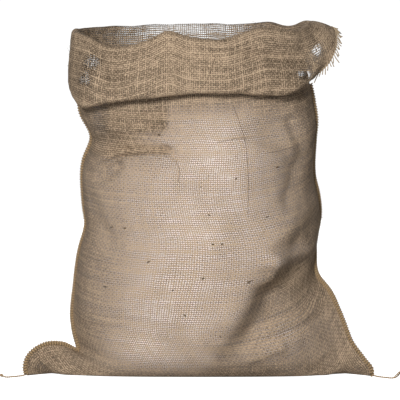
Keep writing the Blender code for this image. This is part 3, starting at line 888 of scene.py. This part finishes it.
def wallRing(reach):
    columns = clothShape["columns"]
    course = readTable(Course, courses, reach)
    front = panelCourse(course, True, columns + 1)
    back = panelCourse(course, False, columns + 1)[::-1]
    loop = np.concatenate([front, back[1:-1]])
    isFront = np.arange(len(loop)) <= columns
    push = np.where(isFront, foldPush(loop, True, mainFolds), foldPush(loop, False, mainFolds))
    small = np.where(isFront, foldPush(loop, True, creases), foldPush(loop, False, creases))
    small *= clothShape["creaseDepth"]
    small += sum(height * unevenness(loop, fine, seed) for height, fine, seed in clothShape["wallBumps"])
    height, fine, seed = clothShape["wallWaves"]
    small += height * unevenness(loop * (0.22, 0.22, 1.0), fine, seed)
    seamShare = np.abs(np.cos(np.arange(len(loop)) * math.pi / columns))
    push = push * (1 - seamShare**6) + small * (1 - seamShare**24)
    push *= np.clip((loop[:, 2] - 0.01) / 0.04, 0, 1)
    return loop + outward(loop, clothShape["turnSpan"]) * push[:, None]


def rollProfile(station):
    shape = clothShape
    parts = [
        (shape["rimRows"], station.rimTurn, shape["rimRadius"] * math.pi),
        (shape["dropRows"], -station.bow, station.drop / 2),
        (shape["dropRows"], station.bow, station.drop / 2),
        (shape["foldRows"], station.foldTurn, shape["foldRadius"] * math.pi),
        (shape["hemRows"], 0.0, station.hem),
    ]
    heading = math.radians(90)
    out = up = along = 0.0
    points = []
    for rows, turn, length in parts:
        for _ in range(rows):
            heading -= math.radians(turn) / rows / 2
            out += math.cos(heading) * length / rows
            up += math.sin(heading) * length / rows
            along += length / rows
            heading -= math.radians(turn) / rows / 2
            points.append((out, up, along))
    return points


def clothRings():
    # every closed course, from the bottom fold up the wall, over the rim and into the hem, with
    # each point's own reach along the cloth as a fourth number
    columns = clothShape["columns"]
    reaches = np.linspace(0, courses[-1].reach, clothShape["wallRows"] + 1)
    rings = [wallRing(reach) for reach in reaches]
    places = np.arange(2 * columns) * 2 / columns
    roll = [readTable(Station, stations, place) for place in places]
    lifts = np.array([s.lift for s in roll])
    circle = np.stack([np.cos(places * math.pi / 2), np.sin(places * math.pi / 2), 0 * places], axis=1)
    height, fine, seed = clothShape["rimBumps"]
    lifts += height * unevenness(circle, fine, seed)
    topHeight = rings[-1][:, 2].mean()
    liftFrom = clothShape["liftFrom"]
    for loop in rings:
        share = np.clip((loop[:, 2] - liftFrom) / (topHeight - liftFrom), 0, 1)
        loop[:, 2] += share * lifts
    top = rings[-1]
    ways = outward(top, clothShape["turnSpan"])
    profiles = np.array([rollProfile(s) for s in roll])
    isFront = np.arange(2 * columns) <= columns
    rings = [np.column_stack([loop, np.full(len(loop), reach)]) for loop, reach in zip(rings, reaches)]
    for row in range(profiles.shape[1]):
        loop = top + ways * profiles[:, row, :1]
        loop[:, 2] += profiles[:, row, 1]
        bumps = sum(height * unevenness(loop, fine, seed) for height, fine, seed in clothShape["rollBumps"])
        bumps += np.where(isFront, foldPush(loop, True, cuffFolds), foldPush(loop, False, cuffFolds))
        loop += ways * (bumps * min(1.0, row / 6))[:, None]
        rings.append(np.column_stack([loop, reaches[-1] + profiles[:, row, 2]]))
    return rings


def litSideOfFold(place):
    # 1 on the stretched, lit side of the long slanting fold, 0 past it, where painted shade goes
    heights, edges = zip(*foldLitEdge)
    away = (float(np.interp(place.z, heights, edges)) - place.x) / markBase["edgeSpread"]
    return 1 / (1 + math.exp(-max(-30.0, min(30.0, 2.5 * away))))


def markShare(mark, place, power):
    away = abs((place.x - mark.x) / mark.spreadX) ** power + abs((place.z - mark.z) / mark.spreadZ) ** power
    return mark.strength * math.exp(-away)


def paleFillAndPaintedLightStrength(place, reach, isFront):
    # the filling presses only on the wall and painted light falls on it there, so the pale gaps fade out
    # under the rim
    base = markBase
    under = courses[-1].reach - reach
    total = 0.0 if isFront else base["backPale"]
    total += sum(markShare(mark, place, 2) for mark in paleFillAndPaintedLightMarks if mark.front == isFront)
    total += sum(markShare(mark, place, 8) for mark in paintedShadeBlocks if mark.front == isFront)
    if isFront:
        total *= base["paleLeftInFoldShade"] + (1 - base["paleLeftInFoldShade"]) * litSideOfFold(place)
    else:
        total *= min(1.0, max(0.0, (under - base["backPaleEnd"]) / base["backPaleFade"]))
    return total * min(1.0, max(0.0, 1 - (base["paleEnd"] - under) / base["paleFade"]))


def sheerStrength(place, reach, isFront):
    total = sum(markShare(mark, place, 2) for mark in sheerMarks if mark.front == isFront)
    return total - (markBase["rollShut"] if reach > courses[-1].reach + markBase["rollFrom"] else 0.0)


def stainAndShadeStrength(place, reach, isFront):
    total = sum(markShare(mark, place, 2) for mark in stainAndShadeMarks if mark.front == isFront)
    # painted shade on the yarns past the long slanting fold
    if isFront and reach < courses[-1].reach - markBase["foldPaintedShadeEnd"]:
        total += markBase["foldPaintedShade"] * (1 - litSideOfFold(place))
    return total


def buildCloth(rings):
    # a flat cut length, folded across its middle, wrapped round the courses and joined at its sides
    columns = clothShape["columns"]
    last = len(rings) - 1
    work = bmesh.new()
    bmesh.ops.create_grid(work, x_segments=columns, y_segments=2 * last, size=1.0)
    uvLayer = work.loops.layers.uv.new("cloth")
    strengths = {"pale": paleFillAndPaintedLightStrength, "sheer": sheerStrength, "stainAndShade": stainAndShadeStrength}
    layers = {name: work.verts.layers.float.new(name) for name in strengths}
    work.verts.ensure_lookup_table()
    cut = {}
    for vert in work.verts:
        column = round((vert.co.x + 1) / 2 * columns)
        row = round(vert.co.y * last)
        place = rings[abs(row)][column if row >= 0 else -column]
        cut[vert] = (column / columns * clothShape["width"], math.copysign(place[3], row))
        vert.co = Vector(place[:3])
    for face in work.faces:
        for loop in face.loops:
            loop[uvLayer].uv = cut[loop.vert]
    for name, layer in layers.items():
        for vert in work.verts:
            vert[layer] = strengths[name](vert.co, abs(cut[vert][1]), cut[vert][1] >= 0)
    bmesh.ops.remove_doubles(work, verts=work.verts, dist=1e-5)
    bmesh.ops.recalc_face_normals(work, faces=work.faces)
    return work


rings = clothRings()
sackCloth = placePiece("sackCloth", buildCloth(rings), burlap)
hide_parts("sack_cloth")
print("cloth ready", len(sackCloth.data.polygons), "faces")


# Overcast side seams

seamShape = {
    "topReach": 0.47,
    "stitchPitch": 0.0036,
    "loopRadius": 0.0029,
    "yarnRadius": 0.0010,
    "edgeRadius": 0.0024,  # the two bound edges inside the stitches
    "outset": 0.0016,
    "pointsPerTurn": 9,
    "sides": 6,
}


def seamRoute(around):
    rows = [k for k, loop in enumerate(rings) if loop[0, 3] <= seamShape["topReach"]]
    edge = np.array([rings[k][around, :3] for k in rows])
    columns = len(rings[0])
    sides = ((around - 3) % columns, (around + 3) % columns)
    near = np.array([(rings[k][sides[0], :3] + rings[k][sides[1], :3]) / 2 for k in rows])
    away = edge - near
    away[0] = away[1]
    away /= np.maximum(np.linalg.norm(away, axis=1, keepdims=True), 1e-9)
    route = edge + away * seamShape["outset"]
    route += away * (0.0007 * unevenness(route, 40.0, 31.0))[:, None]
    route[:, 2] = np.maximum(route[:, 2], seamShape["loopRadius"] + seamShape["yarnRadius"])
    return smoothRoute(route, seamShape["stitchPitch"] / seamShape["pointsPerTurn"])


def buildSeam(name, node, around):
    route = seamRoute(around)
    path = twistRoute(route, seamShape["loopRadius"], seamShape["stitchPitch"], 0.0)
    lengths = alongLine(path)
    swell = np.array([1 + 0.22 * noise.noise(Vector((90.0 * length, around, 0))) for length in lengths])
    stitches = bmesh.new()
    addTube(stitches, path, seamShape["yarnRadius"] * swell, seamShape["sides"])
    piece = placePiece(name, stitches, seamYarn)
    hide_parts(node)
    # the bound edges inside the stitches, dark as painted shade between the loops
    edges = bmesh.new()
    addTube(edges, route[::4], seamShape["edgeRadius"], 8)
    bound = placePiece(name + "Edge", edges, shadedBoundEdge)
    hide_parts(node)


buildSeam("leftSeam", "left_seam", 0)
buildSeam("rightSeam", "right_seam", clothShape["columns"])
print("seams ready")


# Raw edge with its loose warp ends

fringeShape = {
    "from": 1.79,
    "to": 2.26,
    "count": 46,
    "length": 0.0090,
    "radius": 0.00070,
}


def buildFringe():
    edge = rings[-1][:, :3]
    way = edge - rings[-3][:, :3]
    way /= np.linalg.norm(way, axis=1, keepdims=True)
    work = bmesh.new()
    columns = clothShape["columns"]
    for k in range(fringeShape["count"]):
        share = (k + 0.5) / fringeShape["count"]
        around = (fringeShape["from"] + (fringeShape["to"] - fringeShape["from"]) * share) * columns / 2
        around = int(round(around))
        start = edge[around]
        out = way[around]
        length = fringeShape["length"] * random.uniform(0.6, 1.15)
        bend = random.normal(0, 0.18, 3)
        middle = start + (out + bend * 0.4) * length * 0.5
        points = [start - out * 0.003, start, middle, start + (out + bend) * length]
        addTube(work, smoothRoute(points, 0.0016), fringeShape["radius"], 5)
    piece = placePiece("rawEdgeFringe", work, fringeYarn)
    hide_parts("raw_edge_fringe")
    return piece


fringe = buildFringe()
print("fringe ready")


# Pulled yarns, knots in the yarn and loose hairs that lie on the cloth

looseShape = {
    "pulled": [
        [(0.0205, 0.434), (0.0100, 0.404), (0.0010, 0.390), (-0.0030, 0.383)],
        [(0.0440, 0.370), (0.0520, 0.348), (0.0590, 0.326), (0.0640, 0.282), (0.0640, 0.222)],
        [(0.0240, 0.320), (0.0500, 0.325), (0.0760, 0.328)],
        [(0.0870, 0.305), (0.1080, 0.308), (0.1270, 0.313)],
        [(-0.0320, 0.296), (-0.0270, 0.282), (-0.0290, 0.268)],
    ],
    "pale": [
        [(-0.0180, 0.394), (-0.0060, 0.384), (0.0060, 0.400), (0.0130, 0.418)],
        [(0.1450, 0.440), (0.1540, 0.424), (0.1530, 0.412), (0.1400, 0.394)],
        [(0.0720, 0.026), (0.0920, 0.033), (0.1080, 0.043)],
    ],
    "knots": [
        (0.001, 0.261), (0.048, 0.272), (-0.101, 0.205), (-0.119, 0.205), (0.017, 0.185), (0.029, 0.185),
        (-0.069, 0.161), (0.004, 0.140), (-0.036, 0.124), (0.064, 0.134), (0.067, 0.136), (0.027, 0.062),
        (-0.055, 0.330), (0.090, 0.220), (-0.020, 0.090), (0.104, 0.286), (-0.128, 0.125), (0.012, 0.224),
    ],
    "pulledRadius": 0.00028,
    "paleRadius": 0.00036,
    "knotRadius": 0.00085,
    "hairs": 420,
    "hairRadius": 0.00017,
    "hairLength": 0.0075,
}


def ontoCloth(tree, x, z, lift):
    # the nearest place on the cloth when it is looked at square on
    place = tree.ray_cast(Vector((x, -0.6, z)), Vector((0, 1, 0)))[0]
    if place is None:
        return None
    return place + Vector((0, -lift, 0))


def addLoose(name, routes, radius, finish, tree, sides=5):
    work = bmesh.new()
    for route in routes:
        flat = smoothRoute([(x, 0.0, z) for x, z in route], 0.003)
        places = [ontoCloth(tree, x, z, radius) for x, _, z in flat]
        places = [place for place in places if place is not None]
        if len(places) > 2:
            addTube(work, np.array(places), radius, sides)
    piece = placePiece(name, work, finish)
    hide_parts("sack_cloth")


def addHairs(mesh):
    work = bmesh.new()
    areas = np.array([polygon.area for polygon in mesh.polygons])
    picked = random.choice(len(areas), looseShape["hairs"], p=areas / areas.sum())
    for index in picked:
        polygon = mesh.polygons[int(index)]
        normal = Vector(polygon.normal)
        sideways = Vector(random.normal(0, 1, 3)).cross(normal).normalized()
        length = looseShape["hairLength"] * random.uniform(0.4, 1.3)
        start = polygon.center
        middle = start + normal * length * 0.30 + sideways * length * 0.35
        end = start + normal * length * random.uniform(0.1, 0.8) + sideways * length * 0.8
        if min(middle.z, end.z) > 0.003:
            addTube(work, smoothRoute([start, middle, end], length / 4), looseShape["hairRadius"], 3)
    piece = placePiece("looseHairs", work, fringeYarn)
    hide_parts("sack_cloth")


clothTree = BVHTree.FromPolygons(
    [vertex.co for vertex in sackCloth.data.vertices],
    [polygon.vertices[:] for polygon in sackCloth.data.polygons],
)
addLoose("pulledYarns", looseShape["pulled"], looseShape["pulledRadius"], darkYarn, clothTree)
addLoose("paleYarns", looseShape["pale"], looseShape["paleRadius"], fringeYarn, clothTree)
knots = []
for x, z in looseShape["knots"]:
    reach = random.uniform(0.0008, 0.0022)
    slope = random.normal(0, 0.0006)
    knots.append([(x - reach, z - slope), (x, z), (x + reach, z + slope)])
addLoose("yarnKnots", knots, looseShape["knotRadius"], darkYarn, clothTree)
addHairs(sackCloth.data)
print("loose yarns ready")
